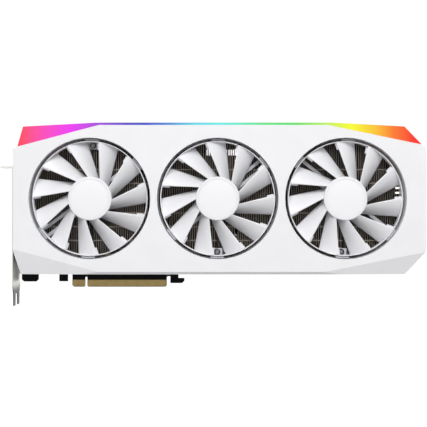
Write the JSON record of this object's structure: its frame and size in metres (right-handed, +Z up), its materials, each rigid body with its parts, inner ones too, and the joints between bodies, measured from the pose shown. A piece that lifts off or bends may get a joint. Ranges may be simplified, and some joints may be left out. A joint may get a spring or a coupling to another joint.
{
  "type": "graphics card",
  "caption": "Long white air-cooled graphics card with a row of ducted axial fans, cut-corner shroud, lit top edge bar, two-slot bracket and gold contact edge.",
  "frame": {"origin": "middle of the long contact tongue's bottom edge, half way through the board's thickness", "axes": "+X along the card away from the bracket, -Y is the way the fans face, +Z up from the contact edge"},
  "size_m": [0.3691, 0.0597, 0.1592],
  "materials": {
    "shroud_white": "satin moulded white plastic",
    "light_diffuser": "translucent diffuser, lit in a rainbow from magenta through blue and green to red",
    "small_board": "white solder mask",
    "rotor_white": "satin moulded white plastic",
    "fan_frame_grey": "matte grey plastic",
    "bearing_brass": "turned",
    "shaft_steel": "ground",
    "magnet": "bonded ferrite",
    "hub_cap": "smooth white label foil",
    "stator_winding": "enamelled copper wire",
    "cable_sleeve": "black sleeve",
    "header_plastic": "natural nylon",
    "circuit_board": "black solder mask",
    "gpu_package": "package laminate",
    "gpu_die": "polished silicon",
    "chip_plastic": "moulded epoxy",
    "choke_body": "pressed ferrite",
    "socket_plastic": "white nylon",
    "socket_shell": "nickel-plated shell",
    "cold_plate": "nickel-plated copper",
    "plate_aluminium": "bead blasted",
    "fins": "dark nickel-toned stamped fins",
    "heat_pipe": "nickel-plated copper",
    "bracket_steel": "satin nickel plate",
    "backplate_white": "fine white powder coat",
    "spring_steel": "stamped"
  },
  "bodies": {
    "card": {"shroud": "shroud_white", "light_diffuser": "light_diffuser", "light_board": "small_board", "fan_1_frame": "fan_frame_grey", "fan_1_bearing": "bearing_brass", "fan_1_stator": "stator_winding", "fan_1_cable": "cable_sleeve", "fan_1_header": "header_plastic", "fan_2_frame": "fan_frame_grey", "fan_2_bearing": "bearing_brass", "fan_2_stator": "stator_winding", "fan_2_cable": "cable_sleeve", "fan_2_header": "header_plastic", "fan_3_frame": "fan_frame_grey", "fan_3_bearing": "bearing_brass", "fan_3_stator": "stator_winding", "fan_3_cable": "cable_sleeve", "fan_3_header": "header_plastic", "circuit_board": "circuit_board", "gpu_package": "gpu_package", "gpu_die": "gpu_die", "memory_chip_1": "chip_plastic", "memory_chip_2": "chip_plastic", "memory_chip_3": "chip_plastic", "memory_chip_4": "chip_plastic", "memory_chip_5": "chip_plastic", "memory_chip_6": "chip_plastic", "memory_chip_7": "chip_plastic", "memory_chip_8": "chip_plastic", "choke_1": "choke_body", "choke_2": "choke_body", "power_socket_1": "socket_plastic", "power_socket_2": "socket_plastic", "video_socket_1": "socket_shell", "video_socket_2": "socket_shell", "video_socket_3": "socket_shell", "video_socket_4": "socket_shell", "cold_plate": "cold_plate", "memory_plate": "plate_aluminium", "fin_stack_left": "fins", "fin_stack_right": "fins", "heat_pipe_1": "heat_pipe", "heat_pipe_2": "heat_pipe", "heat_pipe_3": "heat_pipe", "heat_pipe_4": "heat_pipe", "io_bracket": "bracket_steel", "backplate": "backplate_white", "spring_plate": "spring_steel"},
    "fan_1": {"fan_1_rotor": "rotor_white", "fan_1_shaft": "shaft_steel", "fan_1_magnet_ring": "magnet", "fan_1_hub_cap": "hub_cap"},
    "fan_2": {"fan_2_rotor": "rotor_white", "fan_2_shaft": "shaft_steel", "fan_2_magnet_ring": "magnet", "fan_2_hub_cap": "hub_cap"},
    "fan_3": {"fan_3_rotor": "rotor_white", "fan_3_shaft": "shaft_steel", "fan_3_magnet_ring": "magnet", "fan_3_hub_cap": "hub_cap"}
  },
  "joints": [
    {"name": "fan_1_spin", "type": "hinge", "parent": "card", "child": "fan_1", "pos_m": [-0.02835, -0.046, 0.079], "axis": [0, -1, 0], "continuous": true},
    {"name": "fan_2_spin", "type": "hinge", "parent": "card", "child": "fan_2", "pos_m": [0.08165, -0.046, 0.079], "axis": [0, -1, 0], "continuous": true},
    {"name": "fan_3_spin", "type": "hinge", "parent": "card", "child": "fan_3", "pos_m": [0.19165, -0.046, 0.079], "axis": [0, -1, 0], "continuous": true}
  ]
}
